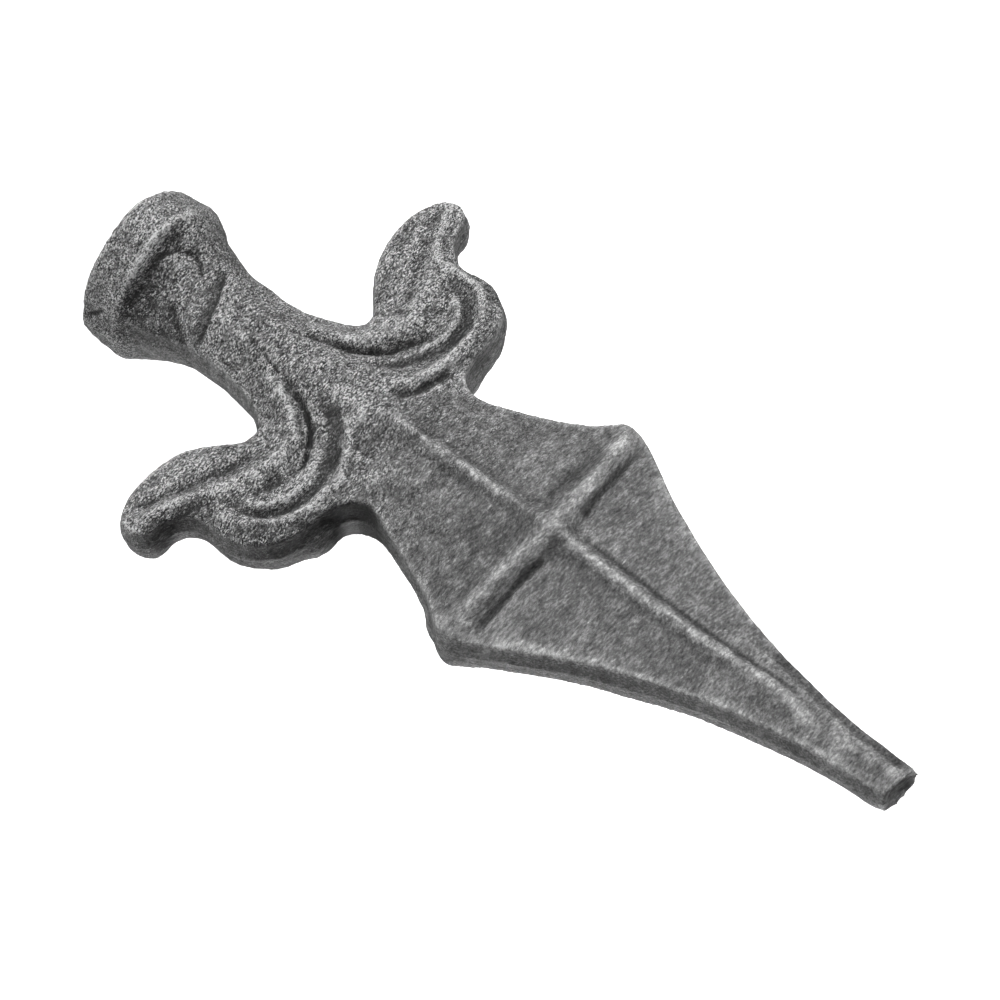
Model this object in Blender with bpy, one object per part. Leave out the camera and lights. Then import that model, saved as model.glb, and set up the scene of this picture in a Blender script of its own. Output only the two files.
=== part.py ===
"""Fence finial: a forged spearhead with two side scrolls on a round flared foot.

The piece stands on its foot: origin at the middle of the foot's flat end face, +Z from
foot to tip, X across the scrolls and the front face toward -Y. One solid, named finial.
Front and back are the same relief about the parting plane y = 0; the worn pocket beside
the collar is on the front alone. Sizes are in millimetres and become metres at the end.
"""
import math

import bmesh
import bpy
import numpy as np
from mathutils import Vector, geometry

MM = 0.001

# Overall sizes
LENGTH = 130.0
LEAF_REACH = 33.2
HALF_DEPTH = 5.4

# Foot
COLLAR_RADIUS = 11.4
COLLAR_LENGTH = 6.0
RIM_CHAMFER = 0.35
FLARE_END = 16.0
NECK_HALF_WIDTH = 6.7
POCKET_DEPTH = 1.2
POCKET_HALF_WIDTH = 5.6
POCKET_SHIFT = 2.8

# Levels of the side scrolls along the length
SCROLL_LOW = 24.9
SCROLL_TOP = 47.2
NOTCH_X = 11.3

# Blade
ROOT_HALF_WIDTH = 10.9
RIB_LEVEL = 71.3
HUB_RISE = 2.5
HUB_HEIGHT = 7.4
SHOULDER_HALF_WIDTH = 19.7
TIP_HALF_WIDTH = 2.85
TIP_HALF_DEPTH = 2.6
TIP_EDGE = 2.2
TIP_DISH = 0.9
RIB_HALF_WIDTH = 1.5

# Draft of the side walls at the parting line
PARTING = 0.4

# Mesh spacing
FINE = 1.35
COARSE = 2.3
LINE_STEP = 1.3
CLEARANCE = 0.55


def level(z):
    """Length coordinate of a drawn level, stretched piece by piece to the sizes above."""
    drawn = [16.0, 25.5, 47.0, 69.4, 130.0]
    places = [FLARE_END, SCROLL_LOW, SCROLL_TOP, RIB_LEVEL, LENGTH]
    return float(np.interp(z, drawn, places))


def rise(h):
    """Half-depth of a drawn height, where the neck's middle is drawn at 5.4."""
    return h * HALF_DEPTH / 5.4


def scroll(points):
    """Points of a line on a side scroll, drawn with the leaf's tip at 32.8."""
    return [(x * LEAF_REACH / 32.8, level(z), rise(h)) for x, z, h in points]


def body(points):
    """Points of a line on the neck or blade, drawn with the blade's root at 10.9."""
    return [(x * ROOT_HALF_WIDTH / 10.9, level(z), rise(h)) for x, z, h in points]


def smooth_line(points, step):
    """Catmull-Rom curve through the points, sampled at an even step."""
    pts = np.array(points, dtype=float)
    padded = np.vstack([2 * pts[0] - pts[1], pts, 2 * pts[-1] - pts[-2]])
    dense = []
    for i in range(1, len(padded) - 2):
        p0, p1, p2, p3 = padded[i - 1:i + 3]
        for t in np.linspace(0.0, 1.0, 24, endpoint=False):
            dense.append(0.5 * (2 * p1 + (p2 - p0) * t
                                + (2 * p0 - 5 * p1 + 4 * p2 - p3) * t * t
                                + (3 * p1 - p0 - 3 * p2 + p3) * t ** 3))
    dense.append(padded[-2])
    dense = np.array(dense)
    steps = np.linalg.norm(np.diff(dense[:, :2], axis=0), axis=1)
    run = np.concatenate([[0.0], np.cumsum(steps)])
    count = max(2, int(round(run[-1] / step)) + 1)
    at = np.linspace(0.0, run[-1], count)
    return np.column_stack([np.interp(at, run, dense[:, k]) for k in range(3)])


def outline():
    """Edge of the front face from the neck to the tip: x, z and the edge's half-depth."""
    grow = NOTCH_X - NECK_HALF_WIDTH
    neck = [(NECK_HALF_WIDTH, FLARE_END, rise(2.6)),
            (NECK_HALF_WIDTH, level(22.0), rise(2.6)),
            (NECK_HALF_WIDTH + 0.05 * grow, level(24.5), rise(2.6)),
            (NECK_HALF_WIDTH + 0.16 * grow, level(26.8), rise(2.6)),
            (NECK_HALF_WIDTH + 0.32 * grow, level(28.9), rise(2.5)),
            (NECK_HALF_WIDTH + 0.50 * grow, level(30.5), rise(2.5)),
            (NECK_HALF_WIDTH + 0.73 * grow, level(31.7), rise(2.4)),
            (NOTCH_X, level(32.2), rise(2.3))]
    leaf = scroll([(12.9, 32.0, 2.3), (14.2, 31.0, 2.2), (16.0, 29.4, 2.1), (18.0, 27.8, 2.0),
                   (20.0, 26.7, 2.0), (22.5, 25.9, 2.0), (25.5, 25.5, 2.0), (28.5, 25.75, 2.0),
                   (31.0, 26.7, 2.1), (32.4, 28.0, 2.3), (32.8, 29.4, 2.6), (32.3, 30.9, 2.8),
                   (31.0, 31.8, 2.9), (29.4, 32.0, 2.9), (28.0, 32.4, 2.8), (26.8, 33.3, 2.7),
                   (25.9, 34.8, 2.6), (25.6, 36.5, 2.6), (25.8, 38.3, 2.7), (25.8, 40.2, 2.8),
                   (25.2, 42.2, 3.0), (24.1, 43.9, 3.1), (22.5, 45.3, 3.2), (20.5, 46.3, 3.3),
                   (18.0, 46.9, 3.4), (15.5, 47.05, 3.5), (13.6, 47.5, 3.6)])
    half = SHOULDER_HALF_WIDTH
    root = ROOT_HALF_WIDTH
    tip = TIP_HALF_WIDTH
    waist = [(root + 1.1, level(48.5), rise(3.8)),
             (root + 0.2, level(50.0), rise(3.8)),
             (root, level(51.4), rise(3.7)),
             (root + 0.10 * (half - root), level(54.0), rise(3.4)),
             (root + 0.30 * (half - root), level(59.0), rise(3.2)),
             (root + 0.58 * (half - root), level(64.0), rise(3.1)),
             (root + 0.81 * (half - root), level(66.6), rise(3.3)),
             (half - 0.4, level(68.2), rise(3.8)),
             (half, level(69.8), rise(3.8)),
             (half - 0.5, level(71.4), rise(3.3)),
             (half - 1.4, level(73.4), rise(3.0))]
    blade = [(0.72, 80.0, 2.9), (0.545, 86.0, 2.9), (0.40, 92.0, 2.9), (0.28, 98.0, 2.9),
             (0.18, 104.0, 2.9), (0.105, 110.0, 2.8), (0.04, 117.0, 2.6), (0.01, 124.0, 2.3)]
    run = [(tip + f * (half - tip), level(z), rise(e)) for f, z, e in blade]
    end = [(tip, LENGTH, rise(TIP_EDGE))]
    return smooth_line(neck + leaf + waist + run + end, LINE_STEP)


def centre_line():
    crest = body([(0.0, 16.0, 5.4), (0.0, 24.0, 5.4), (0.0, 33.0, 5.5), (0.0, 39.0, 5.6),
                  (0.0, 42.5, 5.8), (0.0, 46.0, 6.35), (0.0, 50.0, 6.5), (0.0, 60.0, 6.7),
                  (0.0, 67.0, 6.9)])
    hub = [(0.0, RIB_LEVEL + HUB_RISE, rise(HUB_HEIGHT))]
    tipward = body([(0.0, 75.2, 6.2), (0.0, 80.0, 5.7), (0.0, 90.0, 5.2), (0.0, 100.0, 4.8),
                    (0.0, 110.0, 4.3), (0.0, 120.0, 3.2)])
    end = [(0.0, LENGTH, rise(TIP_HALF_DEPTH))]
    return smooth_line(crest + hub + tipward + end, 1.9)


def neck_relief():
    """Crown of the neck and the deep groove that cuts the scroll from it."""
    crown = body([(2.0, 17.5, 5.35), (2.0, 24.0, 5.35), (1.9, 30.0, 5.4), (1.9, 37.0, 5.5),
                  (1.9, 42.0, 5.65)])
    groove = scroll([(3.3, 27.0, 5.0), (3.6, 28.6, 4.7), (4.6, 32.4, 4.2), (6.5, 36.0, 3.8),
                     (8.1, 38.2, 3.4), (10.5, 39.6, 3.2), (13.4, 40.4, 3.2), (15.4, 40.8, 3.4)])
    return [groove, crown]


def leaf_relief():
    """Ridge of the leaf, the sharp valley beside it and the flat leaf beyond."""
    ridge = scroll([(4.6, 29.5, 5.0), (5.9, 32.5, 5.0), (7.6, 35.0, 4.9), (9.6, 36.7, 4.8),
                    (12.0, 37.5, 4.6), (15.0, 37.0, 4.4), (18.2, 35.8, 4.1), (21.5, 34.2, 3.8),
                    (25.0, 32.1, 3.6), (28.0, 30.8, 3.5), (30.9, 29.8, 3.2)])
    valley = scroll([(9.9, 34.2, 3.9), (12.2, 35.0, 3.6), (14.6, 34.9, 3.3), (17.5, 34.1, 3.0),
                     (20.6, 32.8, 2.8), (23.6, 31.2, 2.7), (27.0, 29.3, 2.6), (30.0, 28.3, 2.4)])
    brink = scroll([(13.6, 33.2, 3.4), (16.4, 32.6, 3.3), (19.4, 31.3, 3.15), (22.4, 29.7, 3.1),
                    (25.7, 28.0, 2.9), (28.9, 27.2, 2.6)])
    return [ridge, valley, brink]


def curl_relief():
    """Inner lobe, the smooth groove round it, the outer lip and the groove before the blade."""
    lobe = scroll([(9.3, 40.7, 4.4), (11.8, 41.8, 4.4), (14.5, 42.4, 4.2), (16.9, 42.3, 4.1),
                   (19.0, 41.4, 4.0), (19.9, 40.0, 3.9), (20.0, 38.2, 3.7)])
    hollow = scroll([(16.6, 39.2, 3.3), (18.2, 38.6, 3.4)])
    groove = scroll([(4.2, 37.4, 5.0), (6.3, 40.9, 4.6), (8.8, 42.4, 4.1), (11.8, 43.4, 3.7),
                     (14.8, 43.8, 3.4), (17.7, 43.3, 3.3), (20.1, 41.9, 3.2), (21.5, 39.6, 3.2),
                     (21.8, 37.2, 3.3)])
    lip = scroll([(3.7, 41.6, 5.6), (6.0, 43.6, 5.5), (8.1, 44.8, 5.2), (11.5, 45.6, 4.8),
                  (15.0, 45.7, 4.5), (18.3, 45.2, 4.3), (20.9, 43.7, 4.2), (22.7, 41.8, 4.1),
                  (23.6, 39.6, 4.0), (23.6, 37.6, 3.8), (23.1, 35.9, 3.6)])
    return [lobe, hollow, groove, lip]


def root_relief():
    """Dip between the outer lip and the blade."""
    return [body([(4.6, 43.9, 5.0), (6.6, 45.3, 4.7), (8.9, 46.4, 4.4), (10.9, 47.2, 4.1)])]


def blade_relief():
    """Sides of the centre rib, the cross-rib with its dips, and the borders of the panels."""
    side = RIB_HALF_WIDTH
    half = SHOULDER_HALF_WIDTH
    span = TIP_HALF_WIDTH

    def chevron(points):
        """Points given by their share of the way out, shift along the length and height."""
        return [(half * f, RIB_LEVEL + shift + HUB_RISE * (1.0 - f) ** 1.3, rise(h))
                for f, shift, h in points]

    def panel(points):
        """Points given by their share of the way from the tip's edge to the shoulder."""
        return [(span + f * (half - span), level(z), rise(h)) for f, z, h in points]

    foot_side = body([(side, 46.0, 5.5), (side, 50.0, 5.5), (side, 58.0, 5.6), (side, 66.2, 5.8)])
    swell = body([(5.2, 50.0, 5.35), (5.6, 57.0, 5.4), (6.2, 64.0, 5.4)])
    crest = chevron([(0.05, -0.2, 7.2), (0.25, 0.0, 6.5), (0.50, 0.0, 5.8), (0.75, 0.0, 5.0),
                     (0.94, -0.1, 4.2)])
    brow = chevron([(0.12, 0.85, 6.6), (0.32, 0.95, 6.0), (0.55, 0.95, 5.3), (0.88, 0.9, 4.1)])
    dip = chevron([(0.12, -3.3, 5.8), (0.30, -2.7, 5.2), (0.50, -2.2, 4.6), (0.82, -1.8, 3.7)])
    before = chevron([(0.15, -5.0, 5.8), (0.32, -4.4, 5.4), (0.52, -3.9, 4.9), (0.78, -3.5, 4.0)])
    after = chevron([(0.13, 2.2, 5.0), (0.30, 2.3, 4.5), (0.55, 2.3, 3.9), (0.88, 2.3, 3.1)])
    tip_side = body([(side, 76.6, 4.9), (side, 82.0, 4.5), (side, 92.0, 4.15), (side, 102.0, 3.9),
                     (side, 110.0, 3.8), (side, 117.0, 3.2)])
    border = panel([(0.77, 76.8, 3.25), (0.63, 80.9, 3.2), (0.47, 86.6, 3.15), (0.34, 92.4, 3.1)])
    floor = panel([(0.52, 77.5, 3.4), (0.36, 82.5, 3.4), (0.24, 88.0, 3.4), (0.14, 94.0, 3.4)])
    return [foot_side, swell, crest, after, brow, dip, before, tip_side, border, floor]


def relief_lines():
    """Crests and grooves of half the front face."""
    lines = neck_relief() + leaf_relief() + curl_relief() + root_relief() + blade_relief()
    return [smooth_line(line, LINE_STEP) for line in lines]


def neck_section():
    """Crowned neck at the join with the flare, from the middle to the edge."""
    rows = []
    count = 7
    for k in range(count + 1):
        f = k / count
        drop = (HALF_DEPTH - rise(2.6)) * f ** 3.2
        rows.append((NECK_HALF_WIDTH * f, FLARE_END, HALF_DEPTH - drop))
    return np.array(rows)


def tip_section():
    rows = []
    for k in range(3):
        f = k / 2.0
        drop = (rise(TIP_HALF_DEPTH) - rise(TIP_EDGE)) * f * f
        rows.append((TIP_HALF_WIDTH * f, LENGTH, rise(TIP_HALF_DEPTH) - drop))
    return np.array(rows)


def gaps(points, segments):
    """Distance of every point to its nearest segment."""
    best = np.full(len(points), 1e9)
    for a, b in segments:
        ab = b - a
        t = np.clip(((points - a) @ ab) / max(float(ab @ ab), 1e-12), 0.0, 1.0)
        near = a + t[:, None] * ab
        best = np.minimum(best, np.linalg.norm(points - near, axis=1))
    return best


def inside(points, loop):
    found = np.zeros(len(points), dtype=bool)
    x = points[:, 0]
    z = points[:, 1]
    for k in range(len(loop)):
        x0, z0 = loop[k]
        x1, z1 = loop[(k + 1) % len(loop)]
        if z0 == z1:
            continue
        crosses = (z0 > z) != (z1 > z)
        at = x0 + (z - z0) * (x1 - x0) / (z1 - z0)
        found ^= crosses & (x < at)
    return found


def clear_run(line, loop, segments):
    """Longest run of a line's points that stays clear of the outline and of other lines."""
    flat = line[:, :2]
    clear = inside(flat, loop) & (gaps(flat, segments) > CLEARANCE)
    best = (0, 0)
    start = None
    for k in range(len(line) + 1):
        if k < len(line) and clear[k]:
            if start is None:
                start = k
        elif start is not None:
            if k - start > best[1] - best[0]:
                best = (start, k)
            start = None
    return line[best[0]:best[1]]


def fill_points(loop, segments):
    """Even rows of points between the lines, closer together on the scrolls."""
    rows = []
    for spacing, low, high in ((FINE, FLARE_END, level(49.0)),
                               (COARSE, level(49.0), LENGTH)):
        z = low + 0.5 * spacing
        odd = 0
        while z < high:
            x = spacing * (0.5 + 0.5 * odd)
            while x < LEAF_REACH + 1.0:
                rows.append((x, z, spacing))
                x += spacing
            odd = 1 - odd
            z += spacing * 0.87
    pts = np.array(rows)
    pts = pts[inside(pts[:, :2], loop)]
    distance = gaps(pts[:, :2], segments)
    return pts[distance > 0.58 * pts[:, 2]][:, :2]


def half_face():
    """Triangles of the front face for x >= 0, with solved half-depths."""
    edge = outline()
    neck = neck_section()
    tip = tip_section()
    middle = centre_line()
    loop_points = np.vstack([neck[:-1], edge, tip[::-1][1:], middle[::-1][1:-1]])
    n_loop = len(loop_points)
    coords = [tuple(p) for p in loop_points]
    segments = [(loop_points[k][:2], loop_points[(k + 1) % n_loop][:2]) for k in range(n_loop)]
    links = []
    loop_flat = [tuple(p[:2]) for p in loop_points]
    for line in relief_lines():
        line = clear_run(line, loop_flat, segments)
        start = len(coords)
        for p in line:
            coords.append(tuple(p))
        for k in range(len(line) - 1):
            links.append((start + k, start + k + 1))
            segments.append((line[k][:2], line[k + 1][:2]))
    fill = fill_points(loop_flat, segments)
    n_fixed = len(coords)
    flat = [Vector((p[0], p[1])) for p in coords] + [Vector((p[0], p[1])) for p in fill]
    result = geometry.delaunay_2d_cdt(flat, links, [list(range(n_loop))], 1, 1e-4)
    verts, _, faces, origin = result[0], result[1], result[2], result[3]
    count = len(verts)
    fixed = np.zeros(count, dtype=bool)
    height = np.zeros(count)
    place = {}
    for i, sources in enumerate(origin):
        for s in sources:
            if s < n_fixed:
                fixed[i] = True
                height[i] = coords[s][2]
                place[s] = i
                break
    weights = {}
    for face in faces:
        for a, b in zip(face, face[1:] + face[:1]):
            length = (verts[a] - verts[b]).length
            weights[(a, b)] = 1.0 / length ** 2
            weights[(b, a)] = weights[(a, b)]
    free = [i for i in range(count) if not fixed[i]]
    index = {v: k for k, v in enumerate(free)}
    matrix = np.zeros((len(free), len(free)))
    right = np.zeros(len(free))
    for (a, b), w in weights.items():
        if fixed[a]:
            continue
        row = index[a]
        matrix[row, row] += w
        if fixed[b]:
            right[row] += w * height[b]
        else:
            matrix[row, index[b]] -= w
    solved = np.linalg.solve(matrix, right)
    for v, k in index.items():
        height[v] = solved[k]
    border = [place[k] for k in range(n_loop)]
    n_neck = len(neck)
    n_edge = len(edge)
    neck_ids = border[:n_neck]
    edge_ids = border[n_neck - 1:n_neck - 1 + n_edge]
    tip_ids = [border[k] for k in range(n_neck - 2 + n_edge, n_neck - 2 + n_edge + len(tip))]
    flat_xz = np.array([(v.x, v.y) for v in verts])
    return flat_xz, height, [list(f) for f in faces], neck_ids, edge_ids, tip_ids


def outward(points):
    """Normals of an open line, to the right of its run toward the tip."""
    ahead = np.gradient(points, axis=0)
    normal = np.column_stack([ahead[:, 1], -ahead[:, 0]])
    return normal / np.linalg.norm(normal, axis=1)[:, None]


class Mesh:
    """Vertices in millimetres and faces, one corner of the piece at a time."""

    def __init__(self):
        self.verts = []
        self.faces = []

    def point(self, x, y, z):
        self.verts.append((x, y, z))
        return len(self.verts) - 1


def foot_ring(mesh, section, z, blend, radius):
    """One ring of the flare, from the neck's section at 0 to the collar's circle at 1."""
    neck = np.array([(mesh.verts[i][0], mesh.verts[i][1]) for i in section])
    closed = np.vstack([neck, neck[:1]])
    run = np.concatenate([[0.0], np.cumsum(np.linalg.norm(np.diff(closed, axis=0), axis=1))])
    turn = 2.0 * math.pi * run[:-1] / run[-1]
    ids = []
    for k in range(len(section)):
        cx = radius * math.sin(turn[k])
        cy = -radius * math.cos(turn[k])
        x = neck[k][0] * (1.0 - blend) + cx * blend
        y = neck[k][1] * (1.0 - blend) + cy * blend
        if y < 0.0:
            off = abs(x - POCKET_SHIFT)
            across = min(1.0, max(0.0, (POCKET_HALF_WIDTH - off) / 1.6 + 0.5))
            along = min(1.0, max(0.0, (z - COLLAR_LENGTH) / 1.0))
            fade = min(1.0, max(0.0, (FLARE_END - 1.0 - z) / 6.0))
            y += POCKET_DEPTH * across * along * fade
        ids.append(mesh.point(x, y, z))
    return ids


def band(mesh, lower, upper):
    """Quads between two closed rings."""
    n = len(lower)
    for k in range(n):
        j = (k + 1) % n
        mesh.faces.append([lower[k], lower[j], upper[j], upper[k]])


def build_mesh():
    flat, height, faces, neck_ids, edge_ids, tip_ids = half_face()
    mesh = Mesh()
    corner = {}
    for side in (1, -1):
        for front in (-1, 1):
            for i, (x, z) in enumerate(flat):
                if side == -1 and x < 1e-6:
                    corner[(side, front, i)] = corner[(1, front, i)]
                else:
                    corner[(side, front, i)] = mesh.point(side * x, front * height[i], z)
    for side in (1, -1):
        for front in (-1, 1):
            for face in faces:
                ids = [corner[(side, front, i)] for i in face]
                if side * front > 0:
                    ids.reverse()
                mesh.faces.append(ids)
    edge = np.array([flat[i] for i in edge_ids])
    normal = outward(edge)
    normal[0] = (1.0, 0.0)
    normal[-1] = (1.0, 0.0)
    wall = {}
    for side in (1, -1):
        for k in range(len(edge)):
            x = edge[k][0] + PARTING * normal[k][0]
            z = edge[k][1] + PARTING * normal[k][1]
            wall[(side, k)] = mesh.point(side * x, 0.0, z)
    for side in (1, -1):
        for front in (-1, 1):
            for k in range(len(edge) - 1):
                a = corner[(side, front, edge_ids[k])]
                b = corner[(side, front, edge_ids[k + 1])]
                c = wall[(side, k + 1)]
                d = wall[(side, k)]
                ids = [a, d, c, b]
                if side * front > 0:
                    ids.reverse()
                mesh.faces.append(ids)
    # Closed sections at the join and the tip, run from the front middle toward +X
    def section(ids, wall_index):
        loop = [corner[(1, -1, i)] for i in ids]
        loop.append(wall[(1, wall_index)])
        loop += [corner[(1, 1, i)] for i in reversed(ids)]
        loop += [corner[(-1, 1, i)] for i in ids[1:]]
        loop.append(wall[(-1, wall_index)])
        loop += [corner[(-1, -1, i)] for i in reversed(ids[1:])]
        return loop

    join = section(neck_ids, 0)
    rings = [join]
    steps = 11
    for k in range(1, steps + 1):
        f = 1.0 - k / steps
        z = COLLAR_LENGTH + (FLARE_END - COLLAR_LENGTH) * f
        rings.append(foot_ring(mesh, join, z, (1.0 - f) ** 1.4, COLLAR_RADIUS - RIM_CHAMFER * 0.6))
    for z, radius in ((COLLAR_LENGTH - RIM_CHAMFER, COLLAR_RADIUS),
                      (COLLAR_LENGTH * 0.5, COLLAR_RADIUS),
                      (RIM_CHAMFER, COLLAR_RADIUS),
                      (0.0, COLLAR_RADIUS - RIM_CHAMFER)):
        rings.append(foot_ring(mesh, join, z, 1.0, radius))
    for upper, lower in zip(rings, rings[1:]):
        band(mesh, lower, upper)
    middle = mesh.point(0.0, 0.0, 0.0)
    last = rings[-1]
    for k in range(len(last)):
        mesh.faces.append([middle, last[(k + 1) % len(last)], last[k]])
    # Blunt tip with a shallow dish
    end = section(list(reversed(tip_ids)), len(edge) - 1)
    dish = []
    for i in end:
        x, y, z = mesh.verts[i]
        dish.append(mesh.point(x * 0.62, y * 0.62, LENGTH - TIP_DISH))
    band(mesh, end, dish)
    bottom = mesh.point(0.0, 0.0, LENGTH - TIP_DISH)
    for k in range(len(dish)):
        mesh.faces.append([dish[k], dish[(k + 1) % len(dish)], bottom])
    return mesh


def make_material():
    material = bpy.data.materials.new("finial dark iron")
    material.use_nodes = True
    shader = material.node_tree.nodes["Principled BSDF"]
    shader.inputs["Base Color"].default_value = (0.09, 0.09, 0.092, 1.0)
    shader.inputs["Metallic"].default_value = 0.6
    shader.inputs["Roughness"].default_value = 0.62
    return material


def main():
    for item in list(bpy.data.objects):
        bpy.data.objects.remove(item, do_unlink=True)
    mesh = build_mesh()
    data = bpy.data.meshes.new("finial")
    data.from_pydata([(x * MM, y * MM, z * MM) for x, y, z in mesh.verts], [], mesh.faces)
    data.update()
    body_mesh = bmesh.new()
    body_mesh.from_mesh(data)
    bmesh.ops.triangulate(body_mesh, faces=list(body_mesh.faces))
    bmesh.ops.recalc_face_normals(body_mesh, faces=list(body_mesh.faces))
    for face in body_mesh.faces:
        face.smooth = True
    for edge in body_mesh.edges:
        if len(edge.link_faces) == 2 and edge.calc_face_angle() > math.radians(38.0):
            edge.smooth = False
    body_mesh.to_mesh(data)
    body_mesh.free()
    part = bpy.data.objects.new("finial", data)
    bpy.context.scene.collection.objects.link(part)
    data.materials.append(make_material())
    print("finial triangles", len(data.polygons))


main()
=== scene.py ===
"""The look of the fence finial: one forged iron piece, its rough skin, the light and the camera."""
import math

import bpy
import numpy as np
from mathutils import Matrix, Vector, noise


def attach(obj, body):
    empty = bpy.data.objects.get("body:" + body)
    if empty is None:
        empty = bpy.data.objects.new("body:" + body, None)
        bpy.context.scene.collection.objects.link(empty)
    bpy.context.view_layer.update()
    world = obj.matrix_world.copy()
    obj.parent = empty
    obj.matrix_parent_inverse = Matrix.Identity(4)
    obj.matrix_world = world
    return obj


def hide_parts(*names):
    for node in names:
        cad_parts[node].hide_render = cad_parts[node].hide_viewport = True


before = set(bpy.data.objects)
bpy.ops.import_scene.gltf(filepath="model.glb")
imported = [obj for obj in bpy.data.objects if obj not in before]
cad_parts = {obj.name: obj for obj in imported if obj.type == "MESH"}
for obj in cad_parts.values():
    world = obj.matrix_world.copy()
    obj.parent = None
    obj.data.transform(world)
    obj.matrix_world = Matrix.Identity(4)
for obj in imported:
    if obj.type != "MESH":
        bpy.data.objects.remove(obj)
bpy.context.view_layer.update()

MM = 0.001

# Skin of the iron
SKIN_CELL = 0.358 * MM
SOFTEN_ROUNDS = 3
SKIN_STAND = 0.03
CREST_ROUNDS = 9
END_RIM_ROUNDS = 14
HOLLOW_ROUNDS = 10
HOLLOW_DEEPEST = 0.12
BROAD_ROUNDS = 60
BROAD_DEEPEST = 0.35
GRIT_HIGHEST = 0.2
SEAM_HEIGHT = 0.12

# A face counts as front or back from this slant of its normal on
FACE_FROM = 0.15
FACE_OVER = 0.35

# Levels in millimetres above the foot's end
END_RIM = 128.6
CALM_BLADE = 76.0
COARSE_FOOT = 50.0

# Tone: how much painted shade in hollows, painted highlight on crests, broad painted shade and light,
# grit, and flecks painted as glints change it, and the span of the whole
HOLLOW_PAINTED_SHADE = -0.30
CREST_PAINTED_HIGHLIGHT = -0.20
BROAD_PAINTED_SHADE_AND_LIGHT = -0.12
GRIT_TONE = 0.16
FLECK_PAINTED_GLINT = 0.45
FLECK_FROM = 0.7
FLAKE_MIDDLE = 0.54
FLAKE_HEIGHT = 0.12
CLUSTER_LEVEL = 1.1
TONE_SPAN = 0.62
TONE_MIDDLE = 0.5
IRON_ROUGHNESS = 0.6
GLOSS_CHANGE = -0.2
BUMP_DEPTH = 0.22 * MM

# Stretch of grain and flakes: a value below 1 draws them out along x
GRAIN_DRAW = (0.4, 1.0, 1.0)
FLAKE_DRAW = (0.45, 1.0, 1.0)

# Studio
LIGHT_SIZE = 0.5
LIGHT_DISTANCE = 1.1
LIGHT_AIM = 0.06
AIR_GLOW = 0.03
FLOOR_GLOW = 1.1

# Camera, fitted to the photograph's outline
VIEW_AZIMUTH = 24.157
VIEW_ELEVATION = 21.974
VIEW_ROLL = 124.697
VIEW_DISTANCE = 0.7304
FRAME_WIDTH = 0.13063
AIM_SIDE = 0.000519
AIM_UP = 0.002415
AIM_HEIGHT = 0.065


def deselect_all():
    if bpy.context.object and bpy.context.object.mode != "OBJECT":
        bpy.ops.object.mode_set(mode="OBJECT")
    bpy.ops.object.select_all(action="DESELECT")


def make_active(piece):
    deselect_all()
    piece.select_set(True)
    bpy.context.view_layer.objects.active = piece


def apply_modifier(piece, modifier):
    make_active(piece)
    bpy.ops.object.modifier_apply(modifier=modifier.name)


def copy_of_solid(node_name, name):
    """A merged copy of a CAD node, free of the frame, to be dressed."""
    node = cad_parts[node_name]
    piece = bpy.data.objects.new(name, node.data.copy())
    bpy.context.scene.collection.objects.link(piece)
    make_active(piece)
    bpy.ops.object.mode_set(mode="EDIT")
    bpy.ops.mesh.select_all(action="SELECT")
    bpy.ops.mesh.remove_doubles(threshold=0.000002)
    bpy.ops.mesh.normals_make_consistent(inside=False)
    bpy.ops.object.mode_set(mode="OBJECT")
    return piece


def read_points(piece):
    """Places of a piece's points, in millimetres."""
    points = np.empty(len(piece.data.vertices) * 3)
    piece.data.vertices.foreach_get("co", points)
    return points.reshape(-1, 3) / MM


def read_normals(piece):
    normals = np.empty(len(piece.data.vertices) * 3)
    piece.data.vertices.foreach_get("normal", normals)
    return normals.reshape(-1, 3)


def write_points(piece, points):
    piece.data.vertices.foreach_set("co", points.ravel() * MM)
    piece.data.update()


def neighbours(piece):
    pairs = np.empty(len(piece.data.edges) * 2, dtype=np.int64)
    piece.data.edges.foreach_get("vertices", pairs)
    return pairs.reshape(-1, 2)


def spread(values, pairs, rounds):
    """Values averaged over each point's neighbours, round after round."""
    count = len(values)
    ends = np.concatenate([pairs[:, 0], pairs[:, 1]])
    others = np.concatenate([pairs[:, 1], pairs[:, 0]])
    share = np.bincount(ends, minlength=count)
    columns = values.reshape(count, -1).copy()
    for _ in range(rounds):
        for k in range(columns.shape[1]):
            total = np.bincount(ends, weights=columns[others, k], minlength=count)
            columns[:, k] = 0.5 * columns[:, k] + 0.5 * total / share
    return columns.reshape(values.shape)


def lumps(points, size, seed):
    """Soft noise from -1 to 1 at every point, with lumps of the given size."""
    shift = Vector((seed * 3.1, seed * 1.7, seed * 2.3))
    return np.array([noise.noise(Vector(p) / size + shift) for p in points])


def store(piece, name, values):
    attribute = piece.data.attributes.new(name, "FLOAT", "POINT")
    attribute.data.foreach_set("value", values.astype(np.float32))


def smooth_run(points, step):
    """An even, curved run of places through the given ones."""
    pts = np.array(points, dtype=float)
    padded = np.vstack([2 * pts[0] - pts[1], pts, 2 * pts[-1] - pts[-2]])
    dense = []
    for i in range(1, len(padded) - 2):
        p0, p1, p2, p3 = padded[i - 1:i + 3]
        for t in np.linspace(0.0, 1.0, 12, endpoint=False):
            dense.append(0.5 * (2 * p1 + (p2 - p0) * t
                                + (2 * p0 - 5 * p1 + 4 * p2 - p3) * t * t
                                + (3 * p1 - p0 - 3 * p2 + p3) * t ** 3))
    dense.append(padded[-2])
    dense = np.array(dense)
    run = np.concatenate([[0.0], np.cumsum(np.linalg.norm(np.diff(dense, axis=0), axis=1))])
    at = np.linspace(0.0, run[-1], max(3, int(run[-1] / step) + 1))
    return np.column_stack([np.interp(at, run, dense[:, k]) for k in range(pts.shape[1])])


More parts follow.
